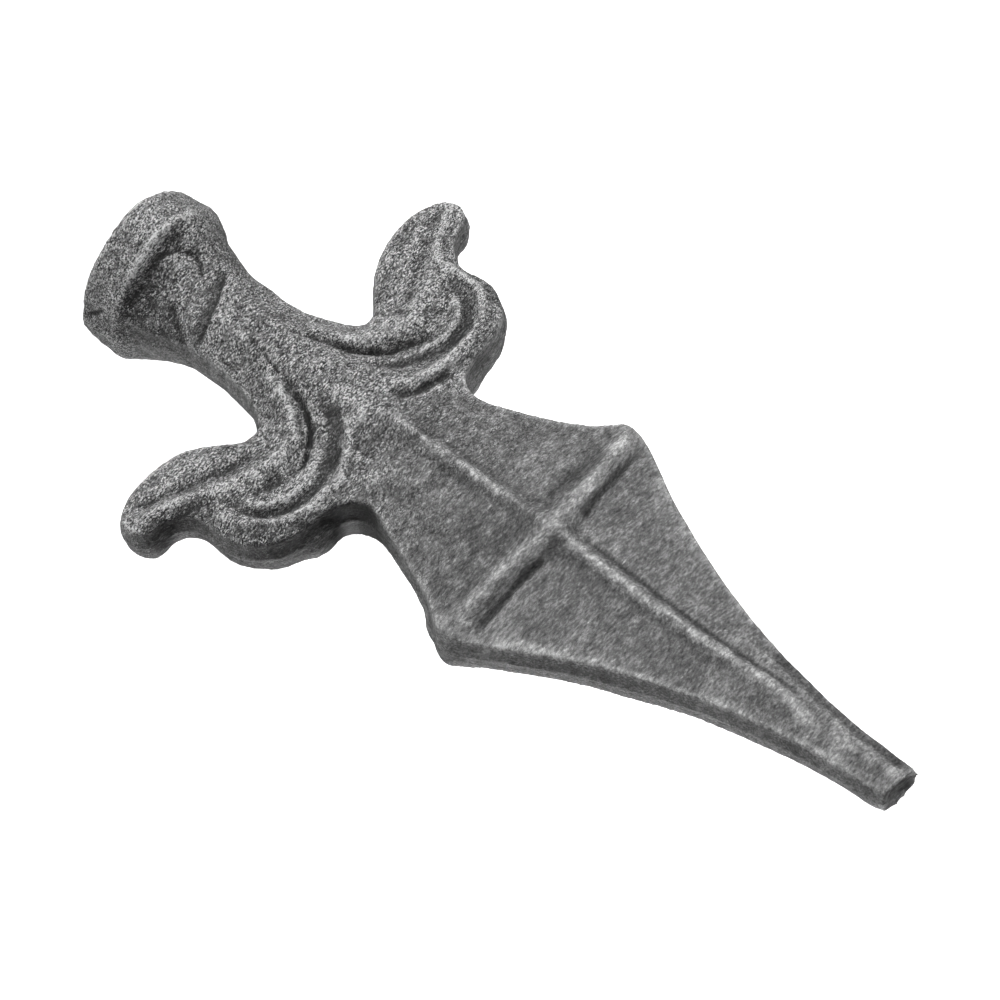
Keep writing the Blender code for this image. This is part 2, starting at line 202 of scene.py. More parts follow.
def away_from(places, line):
    """Distance of every place to a line, and how far along the line it is, from 0 to 1."""
    best = np.full(len(places), 1e9)
    along = np.zeros(len(places))
    low = line.min(axis=0) - 3.0
    high = line.max(axis=0) + 3.0
    near_by = np.all((places > low) & (places < high), axis=1)
    chosen = places[near_by]
    gap = best[near_by]
    where = along[near_by]
    count = len(line) - 1
    for k in range(count):
        a = line[k]
        ab = line[k + 1] - a
        t = np.clip(((chosen - a) @ ab) / max(float(ab @ ab), 1e-12), 0.0, 1.0)
        found = np.linalg.norm(chosen - a - t[:, None] * ab, axis=1)
        closer = found < gap
        gap = np.where(closer, found, gap)
        where = np.where(closer, (k + t) / count, where)
    best[near_by] = gap
    along[near_by] = where
    return best, along


class Chisel:
    """Strokes on the faces: grooves go in, beads stand out, both square to the piece's plane, and each may
    add painted shade or a painted highlight to the tone.
    """

    def __init__(self, points, normals):
        self.points = points
        self.normals = normals
        self.front = np.clip((-normals[:, 1] - FACE_FROM) / FACE_OVER, 0.0, 1.0)
        self.back = np.clip((normals[:, 1] - FACE_FROM) / FACE_OVER, 0.0, 1.0)
        self.change = np.zeros(len(points))
        # Painted shade for the tone, or painted highlight where negative
        self.painted_shade_and_light = np.zeros(len(points))
        self.sleek = np.zeros(len(points))
        self.dent = np.zeros(len(points))
        self.worn = np.zeros(len(points))
        self.uneven = lumps(points, 1.2, 7)
        self.speck = lumps(points, 0.75, 9)

    def share(self, faces):
        """How far each point belongs to the front face, or to both faces."""
        return self.front if faces == "front" else self.front + self.back

    def stroke(self, places, width, depth, painted_shade_and_light=0.0, faces="both", fade=0.15, ragged=0.5, sleek=0.0):
        """A groove (or a bead, with a negative depth) along places given as x, z, with painted shade along
        it, or a painted highlight with a negative amount.
        """
        line = smooth_run(places, 0.5)
        gap, along = away_from(self.points[:, [0, 2]], line)
        gap = gap * (1.0 + ragged * self.uneven)
        ends = np.clip(np.minimum(along, 1.0 - along) / fade, 0.0, 1.0)
        ends = ends * ends * (3.0 - 2.0 * ends) * self.share(faces)
        profile = np.clip(1.0 - (2.0 * gap / width) ** 2, 0.0, 1.0) ** 1.5
        self.change += depth * profile * ends * (1.0 + 0.8 * ragged * self.uneven)
        self.painted_shade_and_light += painted_shade_and_light * profile * ends * (1.0 + 1.6 * ragged * self.speck)
        self.sleek = np.maximum(self.sleek, sleek * profile * ends)

    def wear(self, places, width):
        """Marks a crest to be rubbed round along places given as x, z."""
        gap, _ = away_from(self.points[:, [0, 2]], smooth_run(places, 0.5))
        rubbed = np.clip(1.5 - 2.0 * gap / width, 0.0, 1.0) * self.share("both")
        self.worn = np.maximum(self.worn, rubbed)

    def mound(self, x, z, radius, height, painted_shade_and_light=0.0, faces="front"):
        """A soft swelling (or a pit, with a negative height), with painted shade or a painted highlight
        making it darker or lighter than its surroundings.
        """
        gap = np.hypot(self.points[:, 0] - x, self.points[:, 2] - z) * (1.0 + 0.35 * self.uneven)
        amount = np.exp(-(gap / radius) ** 2) * self.share(faces)
        self.change -= height * amount
        self.painted_shade_and_light += painted_shade_and_light * amount

    def nick(self, places, width, depth, painted_shade_and_light=0.0):
        """A groove cut square to the skin along places given as x, y, z, with painted shade in it."""
        gap, along = away_from(self.points, smooth_run(places, 0.4))
        gap = gap * (1.0 + 0.5 * self.uneven)
        ends = np.clip(np.minimum(along, 1.0 - along) / 0.2, 0.0, 1.0)
        profile = np.clip(1.0 - (2.0 * gap / width) ** 2, 0.0, 1.0) * ends
        self.dent += depth * profile
        self.painted_shade_and_light += painted_shade_and_light * profile

    def cut(self):
        """Places of the points once every stroke is cut."""
        points = self.points - self.normals * self.dent[:, None]
        points[:, 1] += np.where(self.normals[:, 1] < 0.0, 1.0, -1.0) * self.change
        return points


def carve_scrolls(chisel):
    """Cracks round the feet of the scrolls, smooth hollows inside the lips, lips and leaf ribs, with
    painted shade in the cracks and hollows and painted highlights on the lips, lobes and ribs.
    """
    # Cracks, with painted shade in them
    chisel.stroke([(1.3, 21.4), (2.5, 25.5), (3.4, 29.5), (4.2, 32.4)], 0.9, 0.20, 0.14)
    chisel.stroke([(4.2, 31.9), (5.1, 34.9), (6.8, 37.4), (8.8, 39.2), (11.2, 40.4), (13.6, 40.8)],
                  1.1, 0.85, 0.55, ragged=0.9)
    chisel.stroke([(6.2, 36.9), (7.7, 38.8), (9.6, 40.0), (11.6, 40.6)], 1.7, 0.20, 0.22, ragged=0.9)
    chisel.stroke([(-2.0, 25.0), (-3.0, 28.0), (-4.4, 31.3), (-5.7, 34.0)], 0.9, 0.30, 0.20)
    chisel.stroke([(-4.2, 31.0), (-6.1, 34.9), (-8.4, 37.6), (-10.9, 39.0), (-13.7, 40.2), (-15.3, 41.0)],
                  1.2, 0.70, 0.40, fade=0.2, ragged=1.0)
    chisel.stroke([(-8.6, 36.9), (-10.9, 37.9), (-12.8, 38.6), (-14.4, 39.8)], 1.4, 0.25, 0.22, ragged=1.0)
    # Hollows between the inner lobes and the lips, with painted shade in them
    chisel.stroke([(2.3, 34.4), (3.1, 36.8), (4.3, 39.3), (5.7, 41.4), (7.8, 42.9), (10.5, 43.9),
                   (13.3, 44.3)],
                  3.5, 0.45, 0.30, fade=0.3, ragged=0.4, sleek=0.7)
    chisel.mound(3.6, 38.7, 1.1, -0.05, 0.08, "both")
    chisel.stroke([(10.5, 43.9), (13.3, 44.3), (16.4, 44.1), (18.8, 43.3), (20.9, 41.4), (21.9, 39.1)],
                  1.7, 0.40, 0.24, fade=0.2, ragged=0.4, sleek=0.5)
    chisel.stroke([(-3.6, 34.0), (-4.8, 37.0), (-7.6, 40.3), (-11.5, 42.3), (-14.3, 43.0), (-17.0, 43.0),
                   (-19.7, 41.9), (-21.6, 39.9), (-22.2, 37.9)],
                  2.2, 0.42, 0.22, fade=0.3, ragged=0.3, sleek=0.6)
    # Inner lobes, with a painted highlight along them
    chisel.stroke([(8.6, 40.9), (12.0, 42.6), (15.0, 43.0), (18.3, 42.0), (20.4, 40.0), (20.4, 37.8)],
                  1.6, -0.34, -0.34, ragged=1.0)
    chisel.stroke([(-10.4, 40.8), (-13.4, 41.9), (-16.2, 42.1), (-18.7, 41.3), (-20.6, 39.5),
                   (-21.4, 37.8)],
                  1.6, -0.30, -0.28, ragged=1.0)
    # Lips, with a painted highlight along them
    chisel.stroke([(5.0, 41.8), (6.2, 43.8), (8.2, 45.1), (10.4, 45.8), (13.7, 46.0), (16.1, 45.9),
                   (18.9, 44.9), (21.3, 43.0), (22.6, 40.9), (22.8, 38.4)],
                  2.1, -0.40, -0.32, ragged=1.0)
    chisel.stroke([(-23.4, 33.2), (-24.2, 34.9), (-24.7, 37.4), (-24.0, 40.2), (-22.1, 42.7),
                   (-19.4, 44.2), (-16.4, 44.8), (-12.8, 45.0), (-9.6, 44.7), (-6.4, 43.5)],
                  2.0, -0.38, -0.28, fade=0.08, ragged=0.8)
    chisel.stroke([(-24.0, 33.6), (-25.0, 36.4), (-24.6, 39.6), (-22.6, 42.4)],
                  1.9, -0.15, -0.20, fade=0.2, ragged=0.8)
    # Between the lips and the blade: a groove with painted shade, a bead with a painted highlight and a
    # line of painted shade
    chisel.stroke([(-2.9, 43.4), (-5.0, 44.9), (-8.1, 46.0), (-11.4, 46.8)], 1.7, 0.60, 0.35, ragged=0.8)
    chisel.stroke([(5.6, 45.2), (8.6, 46.8), (11.4, 47.6)], 1.8, -0.12, -0.12)
    chisel.stroke([(13.2, 47.4), (15.2, 47.6), (17.4, 47.4), (19.8, 46.3)], 1.8, 0.05, 0.25)
    # Leaf ribs with a painted highlight, valleys with painted shade, and flats below them painted lighter
    chisel.stroke([(4.2, 29.6), (5.6, 31.9), (7.0, 34.6), (9.2, 37.2), (11.8, 38.7)],
                  1.6, -0.25, -0.20, ragged=0.9)
    chisel.stroke([(32.0, 29.6), (29.2, 30.2), (26.5, 31.3), (23.9, 32.7)],
                  1.6, -0.30, -0.32, fade=0.1, ragged=0.8)
    chisel.stroke([(-32.0, 28.9), (-29.6, 29.8), (-27.4, 30.8), (-25.3, 32.0), (-24.0, 34.2)],
                  1.6, -0.30, -0.32, fade=0.08, ragged=0.7)
    chisel.stroke([(30.2, 27.7), (26.4, 29.1), (23.0, 30.8), (19.6, 32.5), (16.3, 33.7), (13.6, 33.8)],
                  1.7, 0.25, 0.12, fade=0.1)
    chisel.stroke([(-30.2, 27.5), (-27.4, 29.1), (-25.0, 30.6), (-22.1, 32.6), (-18.8, 34.2),
                   (-15.5, 35.0)],
                  2.0, -0.05, -0.10)
    chisel.stroke([(30.4, 32.2), (27.8, 32.9), (24.8, 33.9), (22.6, 35.2)], 2.4, 0.15, 0.32)
    chisel.mound(22.0, 29.6, 4.0, 0.0, -0.08)
    chisel.mound(-22.0, 29.6, 4.0, 0.0, -0.05)
    # Pits in the eyes of the scrolls, with painted shade in them
    chisel.mound(16.9, 39.4, 1.0, -0.45, 0.60, "both")
    chisel.mound(15.2, 39.4, 0.8, -0.25, 0.35, "both")
    chisel.mound(18.9, 38.6, 0.7, -0.25, 0.30, "both")
    chisel.mound(-17.5, 38.6, 0.8, -0.20, 0.16, "both")
    chisel.mound(-18.3, 40.0, 0.7, -0.20, 0.20, "both")
    # Raised patches with painted highlights on the curls, the hub and the panels' feet, the strongest
    # first
    for x, z, radius in [(12.6, 37.6, 1.3), (15.1, 37.2, 1.1), (17.5, 37.2, 1.0), (19.4, 35.6, 1.3),
                         (21.6, 34.2, 1.0), (-12.8, 36.2, 1.3), (-16.2, 35.8, 1.2), (-21.6, 35.6, 1.2),
                         (-24.0, 35.2, 1.3), (-9.2, 34.4, 1.2), (1.2, 37.6, 1.6), (-1.0, 33.0, 1.4)]:
        chisel.mound(x, z, radius, 0.14, -0.24, "both")
    for x, z, radius in [(0.1, 39.8, 1.6), (1.1, 41.9, 1.5), (17.0, 36.9, 1.1), (13.8, 38.4, 1.0),
                         (14.4, 40.9, 0.8), (19.2, 37.6, 0.9), (-15.5, 33.9, 2.0), (-11.5, 34.3, 1.8),
                         (-18.6, 35.6, 1.6), (-1.2, 46.5, 1.1), (8.4, 49.5, 1.3)]:
        chisel.mound(x, z, radius, 0.08, -0.24, "both")
    # Painted shade on the flanks under the lips and at the leaf tips
    for x, z, radius, painted_shade_and_light in [(29.8, 31.9, 1.8, 0.30), (26.6, 33.4, 1.8, 0.25), (22.9, 45.0, 1.8, 0.25),
                                (18.6, 46.9, 1.6, 0.20), (25.0, 41.8, 1.8, 0.25),
                                (-25.6, 43.2, 2.2, 0.36), (-27.0, 39.6, 2.0, 0.26),
                                (-19.8, 46.4, 1.6, 0.30), (-16.0, 47.3, 1.4, 0.22),
                                (31.2, 31.3, 1.6, 0.20), (-15.3, 31.6, 1.6, 0.22),
                                (-10.6, 32.8, 1.4, 0.12)]:
        chisel.mound(x, z, radius, 0.0, painted_shade_and_light, "both")
    # Small dips with painted shade at the panels' feet
    chisel.mound(3.6, 46.3, 1.5, -0.06, 0.14, "both")
    chisel.mound(4.2, 52.0, 1.6, -0.06, 0.12, "both")


def carve_foot(chisel):
    """The collar's ridge with a painted highlight and its nick with painted shade, and the worn pocket
    beside it with its step, arc and lighter patch, and painted shade along its edges.
    """
    # The collar's ridge with a painted highlight, and its nick with painted shade
    chisel.stroke([(8.4, 5.8), (5.4, 5.8), (2.2, 5.6), (-1.0, 5.6), (-5.0, 5.6), (-7.6, 5.6)],
                  1.8, -0.25, -0.28, "front", ragged=0.6)
    chisel.nick([(11.5, -1.1, 0.4), (11.0, -1.7, 1.8), (10.8, -2.8, 2.8), (10.4, -4.3, 4.0)],
                0.9, 0.45, 0.55)
    # The step on the neck's side of the pocket, with a line of painted shade and a line with a painted
    # highlight above it
    chisel.stroke([(-4.6, 12.6), (-3.6, 13.1), (-0.6, 14.4), (2.0, 15.4), (4.6, 16.2), (7.4, 16.6)],
                  2.3, 0.44, 0.12, "front", 0.2, ragged=0.4, sleek=0.6)
    chisel.stroke([(-4.2, 13.3), (0.4, 15.4), (3.4, 16.5), (6.6, 17.0)], 0.8, 0.25, 0.26, "front", 0.15)
    chisel.stroke([(-1.6, 16.5), (0.4, 17.6), (2.5, 18.3), (4.9, 18.3)], 2.0, -0.10, -0.22, "front", 0.25)
    # The arc with painted shade in it, and the patch inside it, painted lighter
    chisel.stroke([(2.7, 6.7), (0.7, 7.2), (-0.6, 7.7), (-1.7, 8.6), (-2.1, 9.9), (-1.5, 11.1),
                   (0.0, 12.3)],
                  0.8, 0.35, 0.35, "front", 0.2, ragged=0.7)
    chisel.mound(0.3, 9.4, 1.6, 0.35, -0.30)
    chisel.mound(1.2, 11.8, 1.5, 0.20, -0.22)
    # Painted shade along the pocket's edges: along the collar, across its floor and toward the side
    chisel.stroke([(10.9, 7.6), (9.4, 7.0), (7.8, 6.8), (5.0, 6.9), (2.1, 6.8), (-0.7, 6.8), (-3.8, 6.9)],
                  1.6, 0.30, 0.38, "front", ragged=0.7)
    chisel.stroke([(9.6, 9.4), (8.0, 8.4), (6.0, 8.1), (3.6, 7.8), (1.4, 7.4)],
                  3.2, 0.20, 0.28, "front", 0.2, ragged=0.6)
    chisel.stroke([(4.6, 10.9), (5.2, 12.3), (6.3, 13.8), (7.1, 15.4)],
                  1.4, 0.32, 0.40, "front", ragged=0.7)
    chisel.stroke([(10.3, 7.2), (9.2, 9.0), (8.2, 11.0), (7.3, 13.4), (6.5, 16.6)],
                  1.2, 0.18, 0.30, "front", 0.2, ragged=0.7)
    chisel.mound(6.2, 11.4, 1.6, -0.10, 0.20)


def carve_blade(chisel):
    """Rubbed ribs with a painted highlight and a line of painted shade beside them, the cross-rib's steep
    side, edges and the tip's facet.
    """
    # Ribs with a painted highlight, and a line of painted shade beside the tip-side rib
    chisel.stroke([(-0.6, 43.5), (-0.3, 50.0), (-0.1, 58.0), (-0.1, 67.0)],
                  2.0, -0.10, -0.16, ragged=0.9)
    chisel.stroke([(0.0, 74.6), (0.1, 80.0), (0.3, 90.1), (0.2, 98.4), (-0.3, 106.0), (0.2, 113.1),
                   (0.7, 119.2)],
                  2.4, -0.10, -0.20, fade=0.06, ragged=0.9)
    chisel.stroke([(-1.9, 75.6), (-1.9, 85.0), (-1.4, 97.0), (-1.5, 106.0), (-1.4, 115.0)],
                  1.2, 0.20, 0.12)
    # The cross-rib's crest with a painted highlight, the dips below it and the steep groove above it with
    # painted shade
    chisel.stroke([(1.2, 73.0), (6.1, 72.4), (12.6, 72.0), (18.2, 72.3)],
                  2.9, -0.10, -0.13, fade=0.05, ragged=1.0)
    chisel.stroke([(-1.2, 73.0), (-4.6, 72.7), (-11.6, 72.0), (-17.6, 71.4)],
                  2.7, -0.10, -0.12, fade=0.05, ragged=1.0)
    chisel.stroke([(2.6, 69.2), (6.5, 68.4), (13.5, 67.6), (17.3, 68.2)], 3.2, 0.10, 0.20)
    chisel.mound(6.5, 64.5, 3.0, -0.05, 0.14)
    chisel.stroke([(-2.6, 69.8), (-9.8, 69.1), (-15.8, 68.4)], 2.6, 0.10, 0.10)
    chisel.stroke([(-3.4, 75.1), (-6.2, 74.6), (-8.7, 74.3), (-13.2, 73.9), (-17.2, 73.5)],
                  1.4, 0.35, 0.22)
    chisel.stroke([(3.2, 75.2), (6.4, 74.9), (9.9, 74.7), (15.0, 74.8), (17.2, 74.9)],
                  1.4, 0.35, 0.22)
    # The blade's near edge has a painted highlight, and the crests are rubbed round
    chisel.stroke([(17.6, 76.4), (13.3, 84.2), (9.4, 94.2), (6.4, 103.3), (3.9, 114.1), (2.6, 124.4)],
                  2.2, -0.05, -0.18, "front", 0.05, ragged=0.9)
    chisel.wear([(-17.6, 71.4), (-10.0, 72.0), (0.0, 72.6), (10.0, 72.0), (18.2, 72.0)], 3.6)
    chisel.wear([(-0.6, 43.5), (-0.1, 58.0), (-0.1, 69.0)], 2.4)
    chisel.wear([(0.0, 74.6), (0.2, 98.4), (0.2, 113.1), (0.7, 119.2)], 2.4)
    # The tip's far side falls away as a facet with painted shade
    chisel.stroke([(-5.2, 105.0), (-4.0, 111.0), (-3.2, 117.0), (-2.6, 123.0), (-2.4, 131.0)],
                  3.0, 0.55, 0.12, "front", 0.12, ragged=0.1, sleek=0.5)
    # Painted highlights along the tip and about the cross-rib
    chisel.mound(-0.6, 128.4, 1.1, 0.05, -0.25)
    for x, z, radius in [(0.8, 116.0, 1.8), (0.9, 120.5, 1.6), (0.6, 125.0, 1.5), (17.6, 73.4, 1.4),
                         (9.2, 72.6, 1.6), (-15.0, 71.8, 1.4), (0.2, 72.0, 1.2), (15.0, 79.0, 1.6)]:
        chisel.mound(x, z, radius, 0.04, -0.14, "both")


def nudge(points):
    """Uneven forging: regions moved a little, given by x, z, radius, shift in x, shift in z and side."""
    regions = [(0.0, 1.0, 9.0, -0.5, 0.0, "all"), (13.0, 49.0, 4.5, 0.2, 0.5, "all"),
               (-13.0, 50.0, 4.5, 0.5, -0.2, "all"), (14.0, 60.0, 6.0, 0.6, 0.0, "all"),
               (-18.5, 68.0, 4.0, -0.3, -0.2, "all"), (0.0, 131.0, 9.0, -0.5, 0.2, "all"),
               (-25.5, 37.0, 4.0, 0.5, 0.0, "all"), (11.0, 1.5, 2.5, -0.3, 0.0, "front"),
               (8.0, 8.0, 6.5, 0.45, 0.05, "back"), (-10.6, 4.4, 1.8, -0.35, 0.0, "all"),
               (-9.4, 8.4, 2.2, 0.4, 0.0, "all"), (-17.9, 69.9, 1.3, -0.15, -0.25, "all"),
               (-18.9, 71.8, 1.3, 0.25, 0.0, "all"), (-27.5, 33.6, 2.0, -0.25, 0.0, "all"),
               (-14.6, 30.3, 2.5, 0.0, -0.27, "front"), (-5.4, 17.7, 3.0, -0.35, 0.0, "all"),
               (-6.4, 28.8, 3.5, -0.3, 0.0, "all"), (6.0, 24.5, 4.0, 0.2, 0.0, "back"),
               (19.6, 29.1, 4.0, 0.0, -0.8, "front"), (30.5, 29.8, 2.6, 0.4, 1.2, "back"),
               (19.4, 45.5, 2.6, 0.0, 0.4, "back"), (16.0, 46.6, 2.2, 0.3, 1.3, "back"),
               (18.2, 46.7, 1.3, 0.0, 0.45, "back"), (13.6, 48.0, 1.5, 0.0, -0.2, "back"),
               (22.0, 44.5, 2.0, 0.0, 0.35, "back"), (10.6, 51.0, 1.8, 0.35, 0.0, "back"),
               (13.0, 47.6, 1.6, 0.0, 0.3, "back"), (11.9, 56.5, 3.6, -0.35, 0.0, "back"),
               (17.1, 67.6, 1.6, 0.8, 0.0, "back"), (27.0, 33.0, 2.5, 0.0, 0.4, "back"),
               (13.9, 61.2, 2.4, -0.3, 0.0, "back"), (18.4, 72.6, 2.6, 0.65, 0.2, "back"),
               (7.9, 93.0, 3.4, 0.3, 0.0, "back"), (5.0, 102.3, 2.5, -0.2, 0.0, "back"),
               (1.1, 127.0, 3.0, 0.4, 0.0, "back"), (-2.8, 130.6, 1.6, -0.1, 0.9, "all"),
               (0.0, 131.5, 4.0, 0.0, 0.55, "all"), (-2.0, 128.0, 2.0, 0.35, 0.0, "front"),
               (-3.4, 112.0, 7.0, -0.22, 0.0, "front"), (-14.4, 81.0, 4.6, 0.32, 0.0, "front"),
               (-13.8, 64.0, 4.0, -0.35, 0.0, "front"), (-10.4, 55.3, 2.8, 0.27, 0.0, "front"),
               (-22.5, 45.0, 3.0, 0.0, 0.25, "all"), (-24.0, 43.6, 2.2, 0.2, 0.0, "front"),
               (-32.6, 29.8, 2.8, 0.0, 0.45, "back"), (-32.2, 29.5, 2.0, 0.08, 0.0, "all"),
               (-29.5, 33.6, 2.2, -0.22, 0.3, "all"), (7.8, 28.2, 2.0, -0.15, 0.2, "back"),
               (1.6, 130.5, 1.5, 0.1, 0.3, "back"), (-7.5, 31.2, 1.5, 0.0, -0.2, "front"),
               (-14.8, 46.8, 1.8, 0.0, 0.5, "back"), (-10.7, 33.3, 2.0, 0.0, 0.2, "all")]
    moved = points.copy()
    # The foot's end face stays flat
    foot = np.clip(points[:, 2] / 2.0, 0.0, 1.0)
    sides = {"all": np.ones(len(points)),
             "front": np.clip((1.5 - points[:, 1]) / 3.0, 0.0, 1.0),
             "back": np.clip((1.5 + points[:, 1]) / 3.0, 0.0, 1.0)}
    for x, z, radius, shift_x, shift_z, side in regions:
        weight = np.exp(-(((points[:, 0] - x) ** 2 + (points[:, 2] - z) ** 2) / radius ** 2)) * sides[side]
        moved[:, 0] += weight * shift_x
        moved[:, 2] += weight * shift_z * foot
    # The near notch is a little thicker at the back
    thick = np.exp(-(((points[:, 0] - 13.0) ** 2 + (points[:, 2] - 49.0) ** 2) / 4.5 ** 2))
    moved[:, 1] += thick * 0.5 * np.clip(points[:, 1] / 2.0, 0.0, 1.0)
    # The foot's rim stands a little further out at the front
    rim = np.exp(-((points[:, 0] + 0.5) / 5.5) ** 2) * np.clip((10.0 - points[:, 2]) / 6.0, 0.0, 1.0)
    moved[:, 1] -= 1.1 * rim * np.clip((-points[:, 1] - 4.0) / 5.0, 0.0, 1.0)
    return moved


def seam(points, normals):
    """Height of the thin parting seam round the side walls, from the scrolls up."""
    wall = np.clip(1.0 - np.abs(normals[:, 1]) / 0.5, 0.0, 1.0)
    above = np.clip((points[:, 2] - 22.0) / 4.0, 0.0, 1.0)
    return SEAM_HEIGHT * wall * above * np.exp(-(points[:, 1] / 0.28) ** 2)


def painted_wall_shade(points, normals):
    """Painted shade on side walls at the notches, lips, leaf tips and blade, a darker tone inside the
    broken end, and the neck's wall painted lighter.
    """
    dark = np.zeros(len(points))
    wall = np.clip(1.25 - np.abs(normals[:, 1]) / 0.8, 0.0, 1.0)
    for x, z, radius, amount in [(32.5, 34.5, 4.0, 0.30), (13.2, 49.2, 4.6, 0.50), (24.0, 36.0, 3.0, 0.15),
                                 (-32.5, 34.0, 4.0, 0.15), (22.5, 45.3, 5.0, 0.50),
                                 (30.5, 33.0, 3.0, 0.35), (-26.5, 42.5, 4.0, 0.35),
                                 (7.0, 20.0, 6.0, -0.10), (11.2, 49.9, 3.4, 0.60),
                                 (12.0, 88.0, 14.0, 0.12)]:
        gap = np.hypot(points[:, 0] - x, points[:, 2] - z)
        dark += amount * wall * np.exp(-(gap / radius) ** 2)
    upward = np.clip((normals[:, 2] - 0.4) / 0.3, 0.0, 1.0)
    return dark + 0.15 * upward * np.clip(points[:, 2] - 128.0, 0.0, 1.0)


def forge_finial():
    """The solid's form with forged edges, cut relief, an uneven skin, and maps of its hollows and of its
    painted shade and light.
    """
    piece = copy_of_solid("finial", "forged_finial")
    skin = piece.modifiers.new("skin", "REMESH")
    skin.mode = "VOXEL"
    skin.voxel_size = SKIN_CELL
    apply_modifier(piece, skin)
    soften = piece.modifiers.new("soften", "SMOOTH")
    soften.factor = 0.5
    soften.iterations = SOFTEN_ROUNDS
    apply_modifier(piece, soften)
    chisel = Chisel(read_points(piece), read_normals(piece))
    carve_scrolls(chisel)
    carve_foot(chisel)
    carve_blade(chisel)
    pairs = neighbours(piece)
    points = nudge(chisel.cut())
    # Rubbed crests, and a blunt rim round the broken end
    blunt = np.clip((points[:, 2] - END_RIM) / 0.8, 0.0, 1.0)[:, None]
    points = points + chisel.worn[:, None] * (spread(points, pairs, CREST_ROUNDS) - points)
    write_points(piece, points + blunt * (spread(points, pairs, END_RIM_ROUNDS) - points))
    points = read_points(piece)
    normals = read_normals(piece)
    # Maps of hollows about one millimetre wide and broader, before the skin is roughened, for the painted
    # shade in hollows and painted highlight on crests
    bend = np.einsum("ij,ij->i", spread(points, pairs, HOLLOW_ROUNDS) - points, normals)
    broad = np.einsum("ij,ij->i", spread(points, pairs, BROAD_ROUNDS) - points, normals)
    # Rough faces and foot, smoother side walls, and calmer grain toward the tip
    face = np.clip((np.abs(normals[:, 1]) - 0.25) / 0.4, 0.0, 1.0)
    foot = np.clip((9.0 - points[:, 2]) / 2.0, 0.0, 1.0)
    rough_share = (0.35 + 0.65 * np.maximum(face, foot)) * (1.0 - 0.6 * chisel.sleek)
    toward_foot = np.clip((CALM_BLADE - points[:, 2]) / 26.0, 0.0, 1.0)
    low_down = np.clip((COARSE_FOOT - points[:, 2]) / 8.0, 0.0, 1.0)
    grain_share = rough_share * (0.10 + 0.55 * toward_foot ** 1.5 + 0.53 * low_down)
    wave = 0.10 * lumps(points, 3.2, 1) + (0.07 + 0.03 * toward_foot) * lumps(points, 1.3, 2)
    grit = (0.06 + 0.03 * toward_foot) * lumps(points, 0.7, 3)
    # The skin stands out by what the smoothing took away
    raised = SKIN_STAND + (wave + grit) * rough_share * (1.0 - 0.95 * blunt[:, 0])
    points = points + normals * (raised + seam(points, normals))[:, None]
    # Nothing reaches below the foot's end
    points[:, 2] = np.maximum(points[:, 2], 0.0)
    write_points(piece, points)
    store(piece, "hollow", np.clip(bend / HOLLOW_DEEPEST, -1.0, 1.0))
    store(piece, "broad_hollow", np.clip(broad / BROAD_DEEPEST, -1.0, 1.0))
    store(piece, "grit", raised / GRIT_HIGHEST)
    store(piece, "painted_shade_and_light", chisel.painted_shade_and_light + painted_wall_shade(points, normals))
    store(piece, "grain_share", grain_share)
    for polygon in piece.data.polygons:
        polygon.use_smooth = True
    return piece


def socket(group, name, direction, kind, value=None):
    made = group.interface.new_socket(name=name, in_out=direction, socket_type=kind)
    if value is not None:
        made.default_value = value
    return made


def speckle_group():
    """Grains of scale drawn out across the piece: a light-dark tone and a height, at a given size."""
    group = bpy.data.node_groups.new("forge speckle", "ShaderNodeTree")
    socket(group, "Grain", "INPUT", "NodeSocketFloat", 2000.0)
    socket(group, "Contrast", "INPUT", "NodeSocketFloat", 1.0)
    socket(group, "Harshness", "INPUT", "NodeSocketFloat", 0.65)
    socket(group, "Tone", "OUTPUT", "NodeSocketFloat")
    socket(group, "Height", "OUTPUT", "NodeSocketFloat")
    nodes = group.nodes
    links = group.links
    entry = nodes.new("NodeGroupInput")
    leave = nodes.new("NodeGroupOutput")
    place = nodes.new("ShaderNodeTexCoord")
    drawn = nodes.new("ShaderNodeMapping")
    drawn.inputs["Scale"].default_value = GRAIN_DRAW
    fine = nodes.new("ShaderNodeTexNoise")
    fine.inputs["Detail"].default_value = 3.0
    links.new(place.outputs["Object"], drawn.inputs["Vector"])
    links.new(drawn.outputs["Vector"], fine.inputs["Vector"])
    links.new(entry.outputs["Grain"], fine.inputs["Scale"])
    links.new(entry.outputs["Harshness"], fine.inputs["Roughness"])
    stretch = nodes.new("ShaderNodeMath")
    stretch.operation = "SUBTRACT"
    stretch.inputs[1].default_value = 0.5
    links.new(fine.outputs["Fac"], stretch.inputs[0])
    strong = nodes.new("ShaderNodeMath")
    strong.operation = "MULTIPLY"
    links.new(stretch.outputs[0], strong.inputs[0])
    links.new(entry.outputs["Contrast"], strong.inputs[1])
    links.new(strong.outputs[0], leave.inputs["Tone"])
    links.new(fine.outputs["Fac"], leave.inputs["Height"])
    return group


